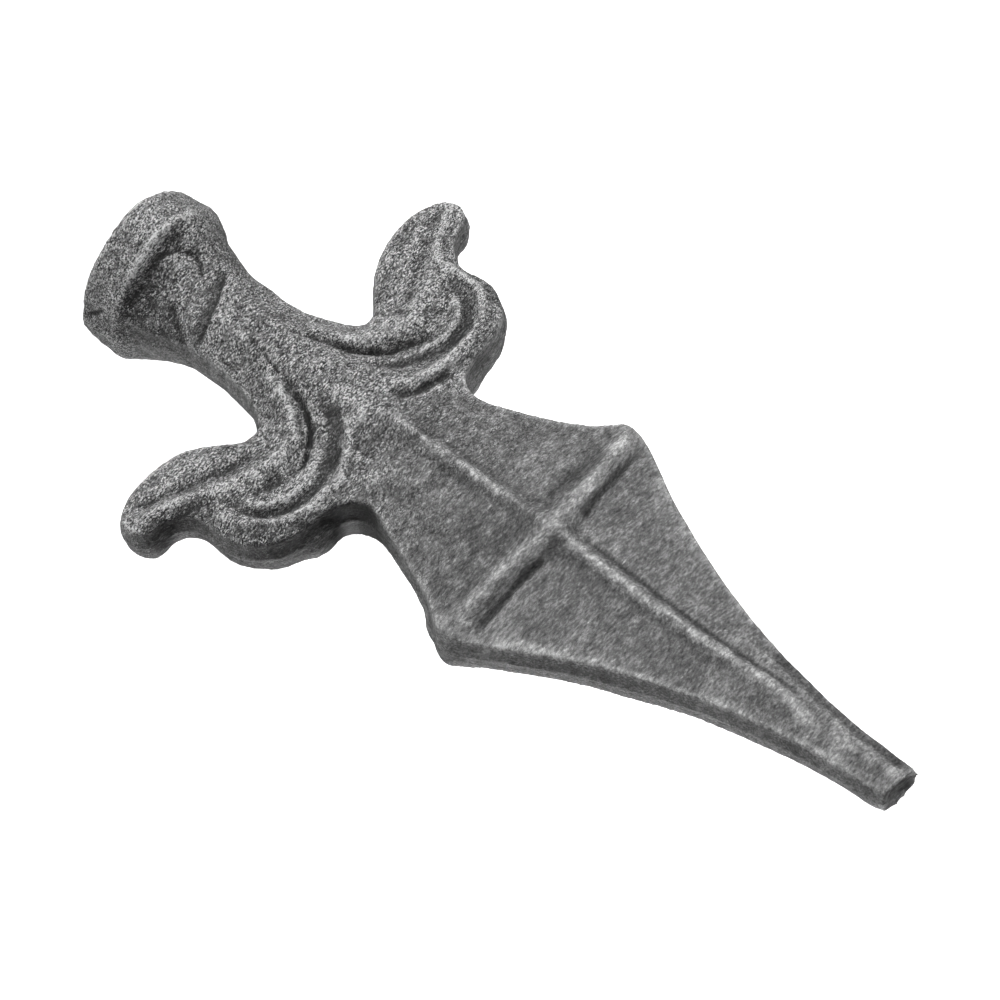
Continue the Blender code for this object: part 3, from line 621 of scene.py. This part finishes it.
def iron_material(speckle):
    """Dark grey iron, whose tone comes from grains, flakes and the piece's maps of its own surface, which
    paint shade into its hollows and highlights onto its crests.
    """
    material = bpy.data.materials.new("forged iron")
    material.use_nodes = True
    nodes = material.node_tree.nodes
    links = material.node_tree.links
    shader = nodes["Principled BSDF"]
    shader.inputs["Metallic"].default_value = 0.0
    shader.inputs["Specular IOR Level"].default_value = 0.35

    def math_node(operation, a, b):
        node = nodes.new("ShaderNodeMath")
        node.operation = operation
        for k, value in enumerate((a, b)):
            if isinstance(value, (int, float)):
                node.inputs[k].default_value = value
            else:
                links.new(value, node.inputs[k])
        return node.outputs[0]

    def reading(name):
        """One of the maps that the forging left on the piece."""
        node = nodes.new("ShaderNodeAttribute")
        node.attribute_name = name
        return node.outputs["Fac"]

    def grains(size, contrast, harshness):
        node = nodes.new("ShaderNodeGroup")
        node.node_tree = speckle
        node.inputs["Grain"].default_value = size
        node.inputs["Contrast"].default_value = contrast
        node.inputs["Harshness"].default_value = harshness
        return node

    def flakes(size, contrast):
        """Crisp flakes of scale, each with its own tone."""
        place = nodes.new("ShaderNodeTexCoord")
        drawn = nodes.new("ShaderNodeMapping")
        drawn.inputs["Scale"].default_value = FLAKE_DRAW
        cells = nodes.new("ShaderNodeTexVoronoi")
        cells.inputs["Scale"].default_value = size
        links.new(place.outputs["Object"], drawn.inputs["Vector"])
        links.new(drawn.outputs["Vector"], cells.inputs["Vector"])
        return math_node("MULTIPLY", math_node("SUBTRACT", cells.outputs["Color"], FLAKE_MIDDLE), contrast)

    grain = grains(3200.0, 1.7, 0.65)
    dust = flakes(8600.0, 1.75)
    fleck = grains(2600.0, 6.0, 0.6)
    cluster = grains(1100.0, 3.0, 0.6)
    blotch = grains(900.0, 0.9, 0.6)
    patch = grains(240.0, 0.65, 0.65)
    # Flakes gather in clusters, and a few bright flecks stand out as painted glints
    clusters = math_node("ADD", cluster.outputs["Tone"], CLUSTER_LEVEL)
    dusty = math_node("MULTIPLY", math_node("MULTIPLY", dust, clusters), reading("grain_share"))
    painted_glints = math_node("MAXIMUM", math_node("SUBTRACT", fleck.outputs["Tone"], FLECK_FROM), 0.0)
    # Tone: grains and patches about the mean, with painted shade in hollows and painted highlight on
    # crests
    tone = math_node("ADD", grain.outputs["Tone"], patch.outputs["Tone"])
    tone = math_node("ADD", tone, blotch.outputs["Tone"])
    tone = math_node("ADD", tone, dusty)
    tone = math_node("ADD", tone, math_node("MULTIPLY", painted_glints, FLECK_PAINTED_GLINT))
    # Painted shade in the hollows and painted highlight on the crests, from the hollow map
    dark = math_node("MAXIMUM", reading("hollow"), 0.0)
    light = math_node("MINIMUM", reading("hollow"), 0.0)
    tone = math_node("ADD", tone, math_node("MULTIPLY", dark, HOLLOW_PAINTED_SHADE))
    tone = math_node("ADD", tone, math_node("MULTIPLY", light, CREST_PAINTED_HIGHLIGHT))
    # Broad painted shade in wide hollows and painted light on broad bulges
    tone = math_node("ADD", tone, math_node("MULTIPLY", reading("broad_hollow"), BROAD_PAINTED_SHADE_AND_LIGHT))
    tone = math_node("ADD", tone, math_node("MULTIPLY", reading("grit"), GRIT_TONE))
    # Painted shade and highlights from the strokes and the side walls darken or lighten the tone
    tone = math_node("SUBTRACT", tone, reading("painted_shade_and_light"))
    tone = math_node("MULTIPLY", tone, TONE_SPAN)
    tone = math_node("ADD", tone, TONE_MIDDLE)
    ramp = nodes.new("ShaderNodeValToRGB")
    ramp.color_ramp.elements[0].position = 0.0
    ramp.color_ramp.elements[0].color = (0.02, 0.02, 0.02, 1.0)
    ramp.color_ramp.elements[1].position = 1.0
    ramp.color_ramp.elements[1].color = (0.8, 0.8, 0.8, 1.0)
    for position, grey in [(0.25, 0.058), (0.5, 0.15), (0.75, 0.36)]:
        stop = ramp.color_ramp.elements.new(position)
        stop.color = (grey, grey, grey, 1.0)
    links.new(tone, ramp.inputs["Fac"])
    links.new(ramp.outputs["Color"], shader.inputs["Base Color"])
    bump = nodes.new("ShaderNodeBump")
    bump.inputs["Strength"].default_value = 1.0
    bump.inputs["Distance"].default_value = BUMP_DEPTH
    height = math_node("ADD", grain.outputs["Height"], math_node("MULTIPLY", dusty, FLAKE_HEIGHT))
    links.new(height, bump.inputs["Height"])
    links.new(bump.outputs["Normal"], shader.inputs["Normal"])
    gloss = math_node("ADD", math_node("MULTIPLY", grain.outputs["Tone"], GLOSS_CHANGE), IRON_ROUGHNESS)
    links.new(gloss, shader.inputs["Roughness"])
    return material


def camera_axes():
    """Right, up and back directions of the photograph's view, in the row frame."""
    azimuth = math.radians(VIEW_AZIMUTH)
    elevation = math.radians(VIEW_ELEVATION)
    roll = math.radians(VIEW_ROLL)
    back = Vector((math.sin(azimuth) * math.cos(elevation),
                   -math.cos(azimuth) * math.cos(elevation),
                   math.sin(elevation)))
    level_up = (Vector((0.0, 0.0, 1.0)) - back * back.z).normalized()
    level_right = level_up.cross(back)
    right = level_right * math.cos(roll) + level_up * math.sin(roll)
    up = level_up * math.cos(roll) - level_right * math.sin(roll)
    return right, up, back


def place_camera():
    right, up, back = camera_axes()
    data = bpy.data.cameras.new("photo view")
    data.sensor_width = 36.0
    data.lens = 36.0 * VIEW_DISTANCE / FRAME_WIDTH
    data.clip_start = 0.01
    data.clip_end = 50.0
    camera = bpy.data.objects.new("photo view", data)
    bpy.context.scene.collection.objects.link(camera)
    aim = Vector((0.0, 0.0, AIM_HEIGHT)) - right * AIM_SIDE + up * AIM_UP
    spot = aim + back * VIEW_DISTANCE
    rows = [(right[k], up[k], back[k], spot[k]) for k in range(3)]
    camera.matrix_world = Matrix(rows + [(0.0, 0.0, 0.0, 1.0)])
    bpy.context.scene.camera = camera


def place_light(name, direction, strength, size=LIGHT_SIZE):
    """A soft round light aimed at the piece, whose strength doesn't depend on the distance."""
    data = bpy.data.lights.new(name, "AREA")
    data.shape = "DISK"
    data.size = size
    data.energy = strength * math.pi * LIGHT_DISTANCE ** 2
    light = bpy.data.objects.new(name, data)
    bpy.context.scene.collection.objects.link(light)
    toward = Vector(direction).normalized()
    light.location = Vector((0.0, 0.0, LIGHT_AIM)) + toward * LIGHT_DISTANCE
    light.rotation_euler = toward.to_track_quat("Z", "Y").to_euler()
    light.visible_camera = False


def lay_floor():
    deselect_all()
    bpy.ops.mesh.primitive_circle_add(vertices=96, radius=4.0, fill_type="NGON", location=(0.0, 0.0, 0.0))
    floor = bpy.context.object
    floor.name = "studio_floor"
    material = bpy.data.materials.new("pale floor")
    material.use_nodes = True
    shader = material.node_tree.nodes["Principled BSDF"]
    shader.inputs["Base Color"].default_value = (0.9, 0.9, 0.9, 1.0)
    shader.inputs["Roughness"].default_value = 0.9
    shader.inputs["Specular IOR Level"].default_value = 0.0
    shader.inputs["Emission Color"].default_value = (1.0, 1.0, 1.0, 1.0)
    shader.inputs["Emission Strength"].default_value = FLOOR_GLOW
    floor.data.materials.append(material)
    floor.visible_shadow = False
    floor.visible_diffuse = False
    floor.visible_glossy = False


def light_studio():
    world = bpy.data.worlds.new("studio air")
    world.use_nodes = True
    shade = world.node_tree.nodes["Background"]
    shade.inputs["Color"].default_value = (1.0, 1.0, 1.0, 1.0)
    shade.inputs["Strength"].default_value = AIR_GLOW
    bpy.context.scene.world = world
    place_light("key", (-0.49, -0.79, -0.37), 1.84, 0.7)
    place_light("low side", (0.13, -0.96, -0.25), 1.10)
    place_light("high side", (-0.74, -0.61, 0.28), 0.45)
    place_light("right side", (0.71, -0.68, -0.20), 0.42)
    place_light("high front", (-0.12, -0.62, 0.78), 0.20)
    place_light("above", (0.14, 0.10, 0.98), 0.40)
    place_light("under side", (0.57, 0.10, -0.82), 0.52)
    place_light("back right", (0.85, 0.48, -0.23), 0.80)
    place_light("back left", (-0.70, 0.25, 0.67), 1.10)
    place_light("back under", (-0.45, 0.30, -0.84), 1.15)
    place_light("back middle", (0.10, 0.97, 0.15), 1.60)
    bpy.context.scene.view_settings.view_transform = "Standard"


finial = forge_finial()
finial.data.materials.clear()
finial.data.materials.append(iron_material(speckle_group()))
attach(finial, "root")
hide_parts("finial")
lay_floor()
light_studio()
place_camera()
print("triangles", sum(len(face.vertices) - 2 for face in finial.data.polygons))
